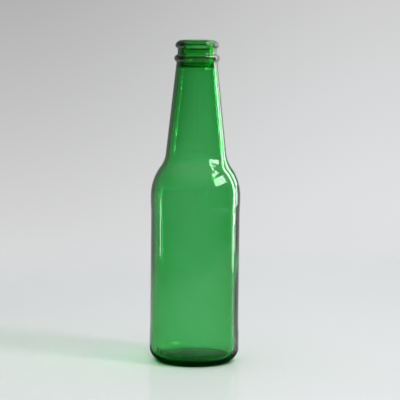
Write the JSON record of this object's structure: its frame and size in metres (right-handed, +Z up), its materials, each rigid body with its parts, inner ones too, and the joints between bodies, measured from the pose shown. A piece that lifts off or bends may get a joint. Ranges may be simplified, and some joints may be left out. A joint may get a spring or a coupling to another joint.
{
  "type": "beer bottle",
  "caption": "Empty long-neck bottle of clear green glass, with a recessed label panel, a push-up base and a crown-cap finish.",
  "frame": {"origin": "centre of the ring that the bottle stands on, on the floor plane", "axes": "+Z up the bottle's axis towards the mouth; the front faces -Y, and the raised bars on the heel are at the front left"},
  "size_m": [0.055, 0.055, 0.1965],
  "materials": {
    "green_glass": "clear green container glass, smooth and glossy, with slightly wavy inner walls"
  },
  "bodies": {
    "root": {"bottle": "green_glass"}
  },
  "joints": []
}
